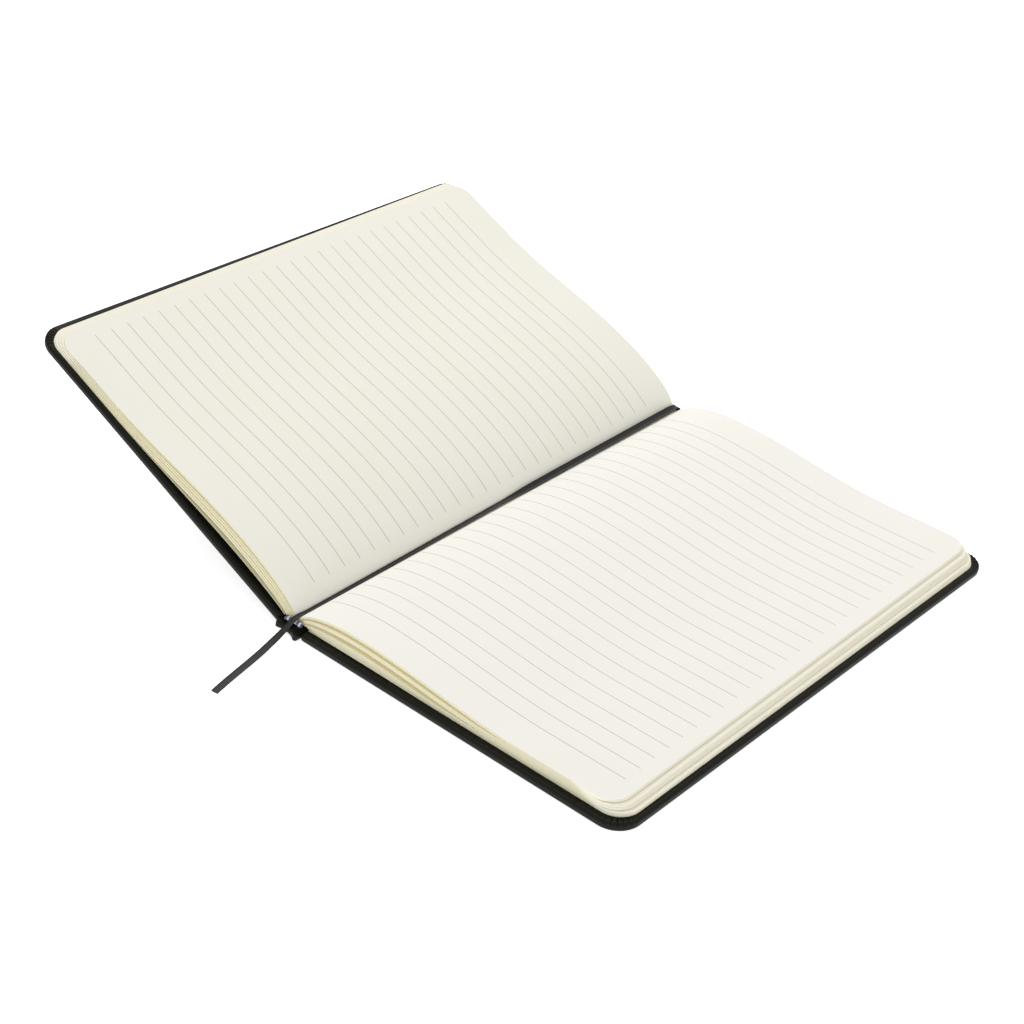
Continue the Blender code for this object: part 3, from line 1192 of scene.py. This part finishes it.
@dataclass
class PageSide:
    """The sheets on one side of the open book, over the endpaper's loose half."""

    hand: Hand
    book: BookFrame
    finishes: Finishes
    page: Material
    stack: Stack
    fly_hump: float
    fly_land: float
    fly_inset: float
    fly_fold: Spot
    skews: Spot
    tail_trims: Spot
    fold_skew: float = 0.0
    fold_skew_power: float = 1.6
    half_tall: float = 103.2
    head_trim: float = 0.9
    root_trim: float = 1.9
    root_reach: float = 10.0
    cover_wide: float = 132.5
    depth: float = 5.0
    cover_thick: float = 3.0
    corner: float = 6.5
    sheets: int = 4
    fold_step: float = 0.14
    fill: float = 0.985
    lift: float = 0.10
    ripple: float = 0.05
    ripple_turn: float = 3.0
    least_hump: float = 0.02
    keep: float = 0.06
    path_steps: int = 22
    flat_steps: int = 3
    corner_steps: int = 9
    rows: int = 18
    fly_level: float = 3.135
    fly_thick: float = 0.15
    sharp_deg: float = 45.0

    def fold_at(self, across: float) -> Spot:
        """The place of a fold in the cover's own lengths."""
        spot = self.book.side(self.hand).inverted() @ self.book.block() @ Vector((across, 0, 0))
        return spot.x, spot.z

    def fore_edge(self, sheet: Sheet, share: float) -> float:
        """How far out a sheet reaches, at a share of the way from the middle to the head."""
        high = min(1.0, (sheet.level - self.cover_thick) / self.depth)
        return self.cover_wide - sheet.inset + between(self.skews, high) * share

    def course(self, sheet: Sheet, share: float) -> tuple[list[Spot], list[float]]:
        """One row across a sheet: steep at the fold, over a hump, then flat to the fore-edge.

        Args:
            sheet: The sheet.
            share: Where the row is, from -1 at the tail to 1 at the head.

        Returns:
            The places, out and up, and the flat length to each, in millimetres.
        """
        bend, level = sheet.bend, sheet.level
        skew = self.fold_skew * ((1 - share) / 2) ** self.fold_skew_power
        start, foot = sheet.fold[0] + skew, sheet.fold[1]
        rise = sheet.hump * (1 + self.lift * share) + self.ripple * math.sin(self.ripple_turn * share)
        rise = max(rise, self.least_hump)
        places: list[Spot] = []
        for k in range(self.path_steps + 1):
            turn = math.pi / 2 * k / self.path_steps
            x = between((start, bend.peak), 1 - math.cos(turn))
            places.append((x, between((foot, level + rise), math.sin(turn) ** bend.steep)))
        for k in range(1, self.path_steps + 1):
            way = k / self.path_steps
            x = between((bend.peak, bend.land), way)
            places.append((x, level + rise * (1 + math.cos(math.pi * way)) / 2))
        last = self.fore_edge(sheet, share) - self.corner
        for k in range(1, self.flat_steps + 1):
            places.append((between((bend.land, last), k / self.flat_steps), level))
        for k in range(1, self.corner_steps + 1):
            places.append((last + self.corner * math.sin(math.pi / 2 * k / self.corner_steps), level))
        lengths = [skew]
        for a, b in zip(places, places[1:]):
            lengths.append(lengths[-1] + math.dist(a, b))
        return places, lengths

    def reach(self, row: int, count: int) -> float:
        """Half the sheet's height at one place of its course, less at the round corners."""
        into = max(0, row - (count - 1 - self.corner_steps))
        return self.half_tall - self.corner * (1 - math.cos(math.pi / 2 * into / self.corner_steps))

    def make(self, sheet: Sheet, body: Body, node: str, slot: str) -> str:
        """Bend and dress a sheet, attach it to its body and hide the solid it stands for.

        Args:
            sheet: The sheet.
            body: What it moves with.
            node: The solid that it stands for.
            slot: What it is made of; not used.

        Returns:
            The new object's name.
        """
        courses = [self.course(sheet, 2 * j / self.rows - 1) for j in range(self.rows + 1)]
        count = len(courses[0][0])

        def place(i: int, j: int) -> tuple[Vector, Spot]:
            """A grid corner on the bent sheet.

            Args:
                i: Its step out from the fold.
                j: Its row from the tail.

            Returns:
                The point, in millimetres, and its flat place on the UV map, in metres.
            """
            places, lengths = courses[j]
            x, z = places[i]
            share = j / self.rows
            near = max(0.0, 1 - (x - sheet.fold[0]) / self.root_reach)
            trim = self.head_trim + self.root_trim * near * near
            y = (2 * share - 1) * self.reach(i, count) - trim * share + sheet.tail * (1 - share)
            return Vector((x, y, z)), (lengths[i] * MM, y * MM)

        obj = laid(sheet.name, (count - 1, self.rows), place)
        dress(obj, sheet.face, self.finishes.page_edge)
        if sheet.swell:
            arched = obj.vertex_groups.new(name="arched")
            for vert in obj.data.vertices:
                arched.add([vert.index], max(0.0, (vert.co.z - sheet.level) / sheet.hump), "REPLACE")
        wall(obj, sheet.thick, 0, 1, sheet.swell)
        frame = self.book.cover(self.hand)
        settle(obj, frame, self.sharp_deg)
        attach(obj, body.value)
        self.book.normal(self.hand)
        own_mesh(obj)
        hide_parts(node)
        return obj.name

    def flyleaf(self) -> str:
        """The loose half of the endpaper, on the cover.

        Returns:
            The new object's name.
        """
        name = self.hand.cover + "_flyleaf"
        sheet = Sheet(
            name + "_sheet", self.fly_fold, self.fly_level, self.fly_hump, self.stack.bend(self.fly_land),
            self.fly_inset, self.fly_thick, self.finishes.endpaper, self.tail_trims[0],
        )
        return self.make(sheet, self.book.body(self.hand), name, "endpaper")

    def signature(self, number: int) -> str:
        """The loose sheets of one signature, counted from the cover up.

        Args:
            number: Its place in the stack, from 0.

        Returns:
            The name of the solid that it stands for.
        """
        stack = self.stack
        node = "%s_signature_%d" % (self.hand.value, number + 1)
        fold, humps, insets = stack.folds[number], stack.humps[number], stack.insets[number]
        bend = stack.bend(stack.lands[number])
        low = stack.start + number * (stack.thick + stack.air)
        pitch = stack.thick / self.sheets
        top, last = self.sheets - 1, len(stack.folds) - 1
        tail = between(self.tail_trims, number / last)
        swell = max(0.0, (humps[1] - humps[0]) / top)
        for k in range(self.sheets):
            start = self.fold_at(fold + math.copysign(self.fold_step, fold) * (top / 2 - k))
            face = self.page if (number, k) == (last, top) else self.finishes.inner_page
            sheet = Sheet(
                "%s_sheet_%d" % (node, k + 1), start, low + pitch * (k + 0.5), between(humps, k / top),
                bend, between(insets, k / top), pitch * self.fill, face, tail, swell,
            )
            self.make(sheet, self.book.body(self.hand), node, "paper")
        return node

    def build(self) -> None:
        """Make the flyleaf and every sheet over it."""
        LOG.info("flyleaf %s", self.flyleaf())
        for number in range(len(self.stack.folds)):
            LOG.info("%d sheets of %s", self.sheets, self.signature(number))


@dataclass
class PageBlock:
    """Both sides' sheets, the single leaf that turns, and the lining across the folds."""

    book: BookFrame
    finishes: Finishes
    right: Stack = Stack(
        thick=0.78, air=0.14, peak=22.0, steep=1.11,
        folds=(4.3, 2.828, 2.052, 1.276, 0.5),
        humps=((0.25, 0.95), (1.2, 1.95), (3.85, 3.85), (3.72, 3.75), (5.2, 5.25)),
        lands=(62, 62, 80, 80, 92),
        insets=((1.9, 2.05), (2.05, 2.2), (3.2, 3.7), (3.8, 4.2), (5.65, 5.95)),
    )
    left: Stack = Stack(
        thick=0.6, air=0.09, peak=27.0, steep=1.24,
        folds=(-3.75, -2.828, -2.052, -1.276, -0.5),
        humps=((4.4, 4.5), (4.45, 4.55), (4.85, 4.9), (4.85, 4.9), (5.5, 5.6)),
        lands=(92, 92, 94, 94, 98),
        insets=((2.3, 2.35), (2.35, 2.4), (3.6, 3.7), (4.7, 4.8), (5.9, 6.0)),
    )
    leaf_level: float = 7.86
    leaf_hump: float = 5.2
    leaf_inset: float = 6.05
    leaf_thick: float = 0.2

    def build(self) -> None:
        """Make all sheets, and dress the lining."""
        right = PageSide(
            Hand.RIGHT, self.book, self.finishes, self.finishes.right_page, self.right, fly_hump=0.35,
            fly_land=62, fly_inset=1.85, fly_fold=(-0.5, 3.3), skews=(0.25, -0.6), tail_trims=(0.45, 0.1),
            fold_skew=0.85, corner=8.0,
        )
        left = PageSide(
            Hand.LEFT, self.book, self.finishes, self.finishes.left_page, self.left, fly_hump=2.3,
            fly_land=90, fly_inset=2.25, fly_fold=(-0.7, 3.35), skews=(0.6, 0.3), tail_trims=(-0.45, 0.6),
        )
        right.build()
        left.build()
        leaf = Sheet(
            "turning_leaf_sheet", right.fold_at(0), self.leaf_level, self.leaf_hump,
            self.right.bend(self.right.lands[-1]), self.leaf_inset, self.leaf_thick,
            self.finishes.right_page, right.tail_trims[1],
        )
        LOG.info("leaf %s", right.make(leaf, Body.LEAF, "turning_leaf", "paper"))
        dress_node("spine_lining", self.finishes.lining)


@dataclass
class EndBands:
    """The rolled striped cloth bands across the folds at head and tail."""

    book: BookFrame
    finishes: Finishes
    radius: float = 0.8
    long: float = 7.4
    half_block: float = 103.2
    gap: float = 0.1
    head_trim: float = 2.4
    rise: float = 0.55
    around: int = 20
    along: int = 60
    thread: float = 0.05
    threads: int = 15
    round_off: float = 0.5
    end_full: float = 0.55
    droop: float = 1.3
    droop_power: float = 1.5
    sharp_deg: float = 60.0

    def band(self, name: str, sign: int) -> str:
        """One band.

        Args:
            name: The solid that it stands for.
            sign: 1 at the head, -1 at the tail.

        Returns:
            The new object's name.
        """
        end = self.half_block - self.head_trim if sign > 0 else self.half_block
        centre = Vector((self.gap, sign * (end + self.radius + self.gap), self.rise))
        let_go()
        bpy.ops.mesh.primitive_cylinder_add(
            vertices=self.around, radius=self.radius, depth=self.long, end_fill_type="NGON",
        )
        obj = named(name + "_roll")
        edit()
        ends = self.long / 2
        cut(UP, [ends * (2 * k / self.along - 1) for k in range(1, self.along)])
        leave()

        def ribbed(spot: Vector) -> Vector:
            """Raise the threads, round the ends and let the left end droop.

            Args:
                spot: A vertex of the upright roll.

            Returns:
                Where the vertex goes on the roll laid across.
            """
            into = min(1.0, (ends - abs(spot.z)) / self.round_off)
            full = between((self.end_full, 1.0), math.sqrt(max(0.0, 1 - (1 - into) ** 2)))
            ridge = 1 - self.thread * (1 - abs(math.cos(math.pi * self.threads * spot.z / self.long)))
            drop = self.droop * max(0.0, -spot.z / ends) ** self.droop_power
            return Vector((spot.z, spot.x * full * ridge, spot.y * full * ridge - drop))

        mesh = obj.data
        layer = mesh.uv_layers.active or mesh.uv_layers.new()
        layer.name = FLAT_MAP
        for loop in mesh.loops:
            spot = mesh.vertices[loop.vertex_index].co
            turn = math.atan2(spot.y, spot.x)
            layer.data[loop.index].uv = (spot.z * MM, turn * self.radius * MM)
        reshape(obj, ribbed)
        obj.data.transform(Matrix.Translation(centre))
        settle(obj, self.book.world(self.book.block()), self.sharp_deg)
        dress(obj, self.finishes.band)
        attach(obj, Body.SPINE.value)
        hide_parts(name)
        return obj.name

    def build(self) -> None:
        """Make both bands."""
        for name, sign in (("head_band", 1), ("tail_band", -1)):
            LOG.info("band %s", self.band(name, sign))


@dataclass
class RibbonMarker:
    """The flat woven ribbon: behind the head band, over it, down the gutter and out at the tail."""

    book: BookFrame
    finishes: Finishes
    wide: float = 2.5
    thick: float = 0.24
    head: float = 103.2
    tail_seat: float = 1.35
    head_seat: float = 4.2
    over_band: float = 1.75
    glued_seats: tuple[Triple, ...] = (
        (0.0, -8.0, -0.57), (0.0, 2.0, -0.57), (0.0, 2.45, -0.3), (-0.1, 2.6, 0.5), (-0.3, 2.5, 2.0),
        (-0.5, 1.4, 3.4),
    )
    gutter_x: float = -0.2
    head_in: float = 1.0
    tail_in: float = 6.0
    tail_past: float = 0.9
    free: float = 43.0
    free_slack: float = 0.9
    free_shares: tuple[float, ...] = (0.05, 0.1, 0.2, 0.32, 0.46, 0.62, 0.8, 1.0)
    sway: float = 6.2
    sway_power: float = 1.3
    sink_power: float = 4.0
    rest: float = 0.2
    bow: float = 0.12
    steep: float = 0.85
    gentle: float = 0.35
    fold_power: float = 1.4
    pinch: float = 0.48
    columns: int = 10
    fine: int = 7
    long_span: float = 30.0
    long_steps: int = 28
    glued: int = 5
    pull: float = 3.0
    pull_reach: float = 8.0
    sharp_deg: float = 50.0
    lies: tuple[tuple[float, float, float, float], ...] = (
        (102.2, 0.0, 0.2, 0.0), (97.0, -0.15, 0.4, 0.9), (12.0, 0.15, 0.35, 0.9), (0.0, 0.42, 0.15, 0.0),
        (-40.0, 0.62, 0.35, 0.0), (-70.0, 0.68, 0.5, 0.0), (-97.0, 0.58, 0.69, 0.0),
        (-104.0, 0.5, 0.85, 0.0), (-107.0, 0.35, 0.8, 0.0), (-109.0, 0.25, 0.55, 0.0),
        (-113.0, 0.0, 0.1, 0.0), (-117.0, 0.0, -0.15, 0.0), (-123.0, 0.0, -0.3, 0.0),
        (-129.0, 0.0, -0.4, 0.0), (-136.0, 0.0, -0.35, 0.0), (-144.0, 0.0, -0.15, 0.0),
    )

    def knots(self) -> list[Vector]:
        """The places that the ribbon's course passes, in millimetres.

        Returns:
            The places, from the glued end to the free one.
        """
        seats = [(x, self.head + y, z) for x, y, z in self.glued_seats]
        middle = (self.tail_seat + self.head_seat) / 2
        gutter = (
            (self.head - self.head_in, self.head_seat), (0.0, middle),
            (self.tail_in - self.head, self.tail_seat), (-self.head - self.tail_past, self.over_band),
        )
        seats += [(self.gutter_x, y, z) for y, z in gutter]
        places = [self.book.block() @ Vector(seat) for seat in seats]
        start = places[-1]
        for share in self.free_shares:
            x = start.x + self.sway * share**self.sway_power
            y = start.y - self.tail_past - self.free * share * self.free_slack
            z = self.rest + (start.z - self.rest) * (1 - share) ** self.sink_power
            places.append(Vector((x, y, z)))
        return places

    def lie(self, y: float) -> Triple:
        """How the ribbon lies at a place along the book: folded, pulled aside and tilted.

        Args:
            y: How far towards the head the place is.

        Returns:
            How much it is folded, pulled aside and tilted.
        """
        for (y0, *low), (y1, *high) in zip(self.lies, self.lies[1:]):
            if y >= y1:
                share = min(1.0, (y0 - y) / (y0 - y1))
                fold, aside, tilt = (between(ends, share) for ends in zip(low, high))
                return fold, aside, tilt
        return self.lies[-1][1:]

    def course(self) -> list[tuple[Vector, Triple]]:
        """The knots joined by a smooth line of close places, each with how the ribbon lies there.

        Returns:
            The places in millimetres, each with its fold, its pull aside and its tilt.
        """
        knots = self.knots()
        line: list[tuple[Vector, Triple]] = []
        for k in range(len(knots) - 1):
            a, b = knots[k], knots[k + 1]
            span = (b - a).length
            before = knots[max(k - 1, 0)]
            after = knots[min(k + 2, len(knots) - 1)]
            lead = (b - before).normalized() * span if k else b - a
            trail = (after - a).normalized() * span if k + 2 < len(knots) else b - a
            steps = self.fine if span < self.long_span else self.long_steps
            for i in range(steps):
                t = i / steps
                spot = (
                    a * (2 * t**3 - 3 * t**2 + 1) + lead * (t**3 - 2 * t**2 + t)
                    + b * (3 * t**2 - 2 * t**3) + trail * (t**3 - t**2)
                )
                line.append((spot, self.lie(spot.y) if k > self.glued else (0.0, 0.0, 0.0)))
        line.append((knots[-1], self.lies[-1][1:]))
        return line

    def build(self) -> None:
        course = self.course()
        line = [spot for spot, _ in course]
        runs = [0.0]
        for a, b in zip(line, line[1:]):
            runs.append(runs[-1] + (b - a).length)
        across = self.book.block().to_3x3() @ ACROSS
        count = len(line) - 1

        def place(i: int, j: int) -> tuple[Vector, Spot]:
            """A grid corner on the ribbon, bowed where it lies free and folded in the gutter.

            Args:
                i: Its step along the ribbon.
                j: Its column across it.

            Returns:
                The point, in millimetres, and its flat place on the UV map, in metres.
            """
            along = (line[min(i + 1, count)] - line[max(i - 1, 0)]).normalized()
            wide = (across - along * along.dot(across)).normalized()
            up = along.cross(wide)
            share = 2 * j / self.columns - 1
            fold, aside, tilt = course[i][1]
            half = self.wide / 2 * (1 - self.pinch * fold)
            steep = self.steep if share > 0 else self.gentle
            rise = steep * fold * abs(share) ** self.fold_power
            rise += self.bow * (share * share - 0.5) + tilt * max(0.0, -share)
            spot = line[i] + wide * (aside + share * half) + up * rise
            spot.y -= self.pull * clamp((line[i].y - self.head) / self.pull_reach + 1)
            return spot, (runs[i] * MM, share * self.wide / 2 * MM)

        obj = laid("ribbon_strip", (count, self.columns), place)
        wall(obj, self.thick, 0)
        whole = self.book.world(Matrix.Identity(4))
        settle(obj, whole, self.sharp_deg)
        dress(obj, self.finishes.ribbon)
        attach(obj, Body.BACK.value)
        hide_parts("ribbon_marker")
        LOG.info("ribbon %s, %.1f mm long", obj.name, runs[-1])


@dataclass
class Studio:
    """Camera, pale floor and soft light."""

    shift: float
    azimuth_deg: float = 38.20
    elevation_deg: float = 32.10
    roll_deg: float = 5.35
    stand: Triple = (383.38, -489.41, 394.97)
    lens: float = 72.46
    sensor: float = 36.0
    clip_start: float = 0.01
    floor_size: float = 6.0
    key_place: Triple = (-0.62, 0.42, 0.95)
    key_size: float = 0.9
    key_power: float = 7.0
    fill_place: Triple = (0.9, -0.5, 0.8)
    fill_size: float = 1.2
    fill_power: float = 1.5
    sky: float = 0.78

    def camera(self) -> None:
        """Stand the camera where the photograph was taken from."""
        az = math.radians(self.azimuth_deg)
        el = math.radians(self.elevation_deg)
        roll = math.radians(self.roll_deg)
        back = Vector((math.sin(az) * math.cos(el), -math.cos(az) * math.cos(el), math.sin(el)))
        level = (back * -1).cross(UP).normalized()
        upright = level.cross(back * -1)
        right = level * math.cos(roll) + upright * math.sin(roll)
        up = upright * math.cos(roll) - level * math.sin(roll)
        data = bpy.data.cameras.new("photo_camera")
        data.lens = self.lens
        data.sensor_width = self.sensor
        data.clip_start = self.clip_start
        camera = bpy.data.objects.new("photo_camera", data)
        bpy.context.scene.collection.objects.link(camera)
        turn = Matrix((right, up, back)).transposed().to_4x4()
        place = Vector((self.stand[0] + self.shift, self.stand[1], self.stand[2])) * MM
        camera.matrix_world = Matrix.Translation(place) @ turn
        bpy.context.scene.camera = camera

    def lamp(self, name: str, place: Triple, size: float, power: float) -> None:
        """A soft square light that faces the book.

        Args:
            name: The light's name.
            place: Where it stands, in metres.
            size: Its side, in metres.
            power: Its power, in watts.
        """
        data = bpy.data.lights.new(name, "AREA")
        data.size = size
        data.energy = power
        lamp = bpy.data.objects.new(name, data)
        bpy.context.scene.collection.objects.link(lamp)
        lamp.location = place
        lamp.rotation_euler = Vector(place).to_track_quat("Z", "Y").to_euler()

    def build(self) -> None:
        """Make the floor, the lights and the sky."""
        let_go()
        bpy.ops.mesh.primitive_plane_add(size=self.floor_size)
        floor = named("floor")
        dress(floor, PaleFloor().material())
        self.lamp("key_light", self.key_place, self.key_size, self.key_power)
        self.lamp("fill_light", self.fill_place, self.fill_size, self.fill_power)
        world = bpy.data.worlds.new("soft_sky")
        world.use_nodes = True
        sky = world.node_tree.nodes["Background"]
        sky.inputs["Color"].default_value = WHITE
        sky.inputs["Strength"].default_value = self.sky
        bpy.context.scene.world = world
        bpy.context.scene.view_settings.view_transform = "Standard"
        LOG.info("floor, two lights and a pale sky")


def main() -> None:
    """Load the model, dress it piece by piece, and set up the camera, floor and lights."""
    logging.basicConfig(level=logging.INFO, format="%(name)s: %(message)s")
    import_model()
    let_go()
    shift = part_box("back_skin")[0][0] / MM
    book = BookFrame(shift)
    studio = Studio(shift)
    studio.camera()
    finishes = Finishes.make()
    RibbonMarker(book, finishes).build()
    Cover(Hand.RIGHT, book, finishes, corner=9.2, tail_out=(0.45, 0.85), fore_out=(0.85, 0.2)).build()
    Cover(Hand.LEFT, book, finishes).build()
    Spine(book, finishes).build()
    PageBlock(book, finishes).build()
    EndBands(book, finishes).build()
    studio.build()
    let_go()


if __name__ == "__main__":
    main()
